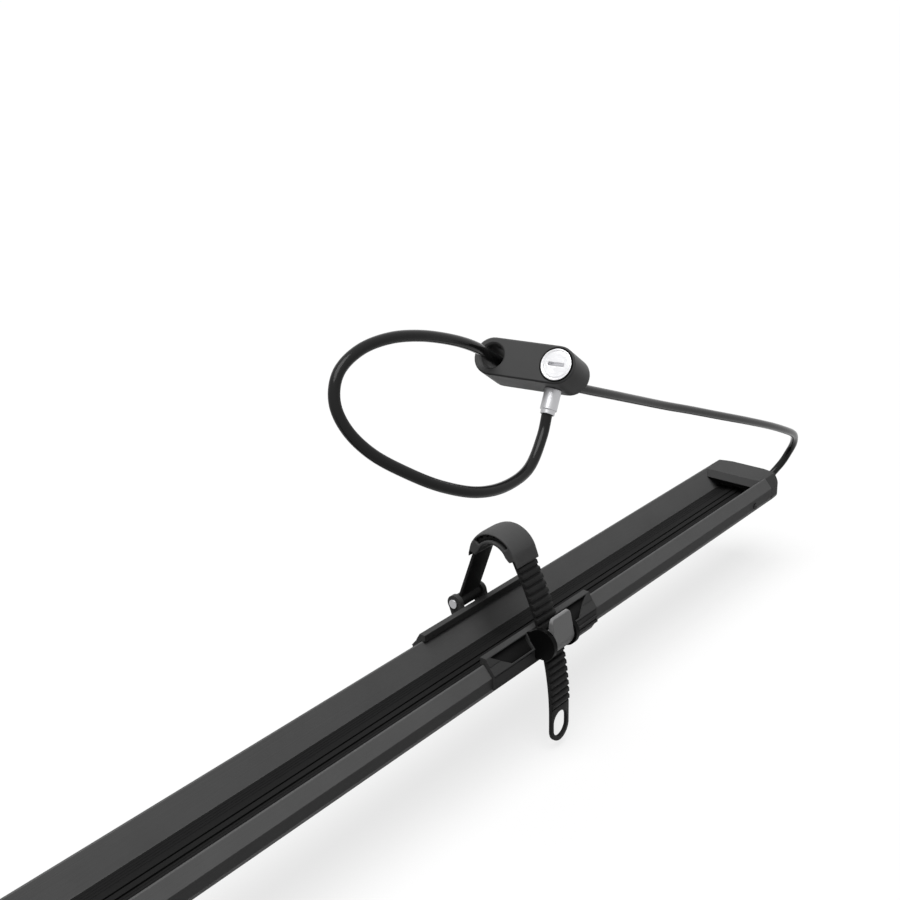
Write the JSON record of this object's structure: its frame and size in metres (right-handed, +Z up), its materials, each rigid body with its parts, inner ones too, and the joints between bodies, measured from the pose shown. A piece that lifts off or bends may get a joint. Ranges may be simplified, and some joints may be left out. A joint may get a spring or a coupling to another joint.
{
  "type": "roof mounted bike carrier",
  "caption": "Fork mount roof bike carrier: channel tray with roof bar clamps, quick release fork head, sliding ratchet wheel strap and a locking cable at the rear cap.",
  "frame": {"origin": "middle of the front bar pad's underside, where the front roof bar lies", "axes": "+X rearward along the tray, +Y across the tray away from the buckle side, +Z up"},
  "size_m": [1.4265, 0.1752, 0.3289],
  "materials": {
    "anodised": "satin anodised dark grey",
    "cap_plastic": "fine grain dark grey",
    "black_plastic": "fine grain black",
    "cradle_plastic": "satin dark grey",
    "strap_rubber": "soft black",
    "pad_rubber": "soft grey",
    "lever_plastic": "satin grey",
    "zinc_steel": "zinc plated",
    "bright_metal": "satin nickel",
    "lock_shell": "satin dark grey",
    "cable_cover": "glossy black cover",
    "head_plastic": "glass filled, fine grain",
    "pad_black": "soft black"
  },
  "bodies": {
    "tray": {"tray_rail": "anodised", "front_end_cap": "cap_plastic", "rear_end_cap": "cap_plastic", "end_cap_screws": "zinc_steel", "cable_gland": "black_plastic", "cable_anchor": "zinc_steel", "lock_cable": "cable_cover", "cable_plug": "bright_metal", "lock_housing": "lock_shell", "lock_bezel": "black_plastic", "head_casting": "head_plastic", "head_bolts": "zinc_steel", "head_nut_plates": "zinc_steel", "axle_tube": "zinc_steel", "fork_plates": "zinc_steel", "cam_saddle": "black_plastic", "front_clamp_base": "head_plastic", "front_bar_pad": "pad_black", "front_t_bolts": "zinc_steel", "front_t_nuts": "zinc_steel", "front_clamp_stud": "zinc_steel"},
    "strap_holder": {"strap_cradle": "cradle_plastic", "buckle_frame": "black_plastic", "wheel_strap": "strap_rubber", "rim_pad": "pad_rubber", "strap_anchor_pin": "zinc_steel", "lever_pin": "zinc_steel", "lever_spring": "zinc_steel"},
    "release_lever": {"release_lever": "lever_plastic"},
    "lock_barrel": {"lock_barrel": "bright_metal"},
    "skewer": {"skewer_rod": "zinc_steel", "cam_pin": "zinc_steel"},
    "fork_lever": {"fork_lever": "black_plastic"},
    "lever_lock": {"lever_lock": "bright_metal"},
    "thumb_nut": {"thumb_nut": "black_plastic"},
    "front_jaw": {"front_jaw": "head_plastic", "front_jaw_liner": "pad_black"},
    "front_knob": {"front_knob": "black_plastic"},
    "rear_clamp": {"rear_clamp_base": "head_plastic", "rear_bar_pad": "pad_black", "rear_t_bolts": "zinc_steel", "rear_t_nuts": "zinc_steel", "rear_clamp_stud": "zinc_steel"},
    "rear_jaw": {"rear_jaw": "head_plastic", "rear_jaw_liner": "pad_black"},
    "rear_knob": {"rear_knob": "black_plastic"}
  },
  "joints": [
    {"name": "strap_slide", "type": "slide", "parent": "tray", "child": "strap_holder", "axis": [1, 0, 0], "range_m": [-0.2, 0.2]},
    {"name": "release_hinge", "type": "hinge", "parent": "strap_holder", "child": "release_lever", "pos_m": [0.995, -0.042, 0.053], "axis": [-1, 0, 0], "range_deg": [0, 35], "stiffness_Nm_per_rad": 0.02},
    {"name": "lock_turn", "type": "hinge", "parent": "tray", "child": "lock_barrel", "pos_m": [0.917, -0.094, 0.262], "axis": [0.8259, 0.1456, -0.5446], "range_deg": [0, 90]},
    {"name": "skewer_slide", "type": "slide", "parent": "tray", "child": "skewer", "axis": [0, 1, 0], "range_m": [0, 0.001]},
    {"name": "fork_lever_hinge", "type": "hinge", "parent": "skewer", "child": "fork_lever", "pos_m": [-0.008, -0.073, 0.128], "axis": [0, 0, -1], "range_deg": [0, 90.5]},
    {"name": "lever_lock_turn", "type": "hinge", "parent": "fork_lever", "child": "lever_lock", "pos_m": [0.0349, -0.08, 0.128], "axis": [0, -1, 0], "range_deg": [0, 90]},
    {"name": "thumb_nut_turn", "type": "hinge", "parent": "skewer", "child": "thumb_nut", "pos_m": [-0.008, 0.06, 0.128], "axis": [0, 1, 0], "range_deg": [0, 720]},
    {"name": "front_jaw_slide", "type": "slide", "parent": "tray", "child": "front_jaw", "axis": [1, 0, 0], "range_m": [0, 0.014]},
    {"name": "front_knob_turn", "type": "hinge", "parent": "front_jaw", "child": "front_knob", "pos_m": [0.06, 0, 0.011], "axis": [1, 0, 0], "range_deg": [0, 4060.22]},
    {"name": "rear_clamp_slide", "type": "slide", "parent": "tray", "child": "rear_clamp", "axis": [1, 0, 0], "range_m": [-0.08, 0.06]},
    {"name": "rear_jaw_slide", "type": "slide", "parent": "rear_clamp", "child": "rear_jaw", "axis": [1, 0, 0], "range_m": [0, 0.014]},
    {"name": "rear_knob_turn", "type": "hinge", "parent": "rear_jaw", "child": "rear_knob", "pos_m": [0.65, 0, 0.011], "axis": [1, 0, 0], "range_deg": [0, 4060.22]}
  ],
  "couplings": [
    {"joint": "fork_lever_hinge", "follows": "skewer_slide", "rad_per_m": 1570.8},
    {"joint": "front_knob_turn", "follows": "front_jaw_slide", "rad_per_m": 5026.5},
    {"joint": "rear_knob_turn", "follows": "rear_jaw_slide", "rad_per_m": 5026.5}
  ]
}
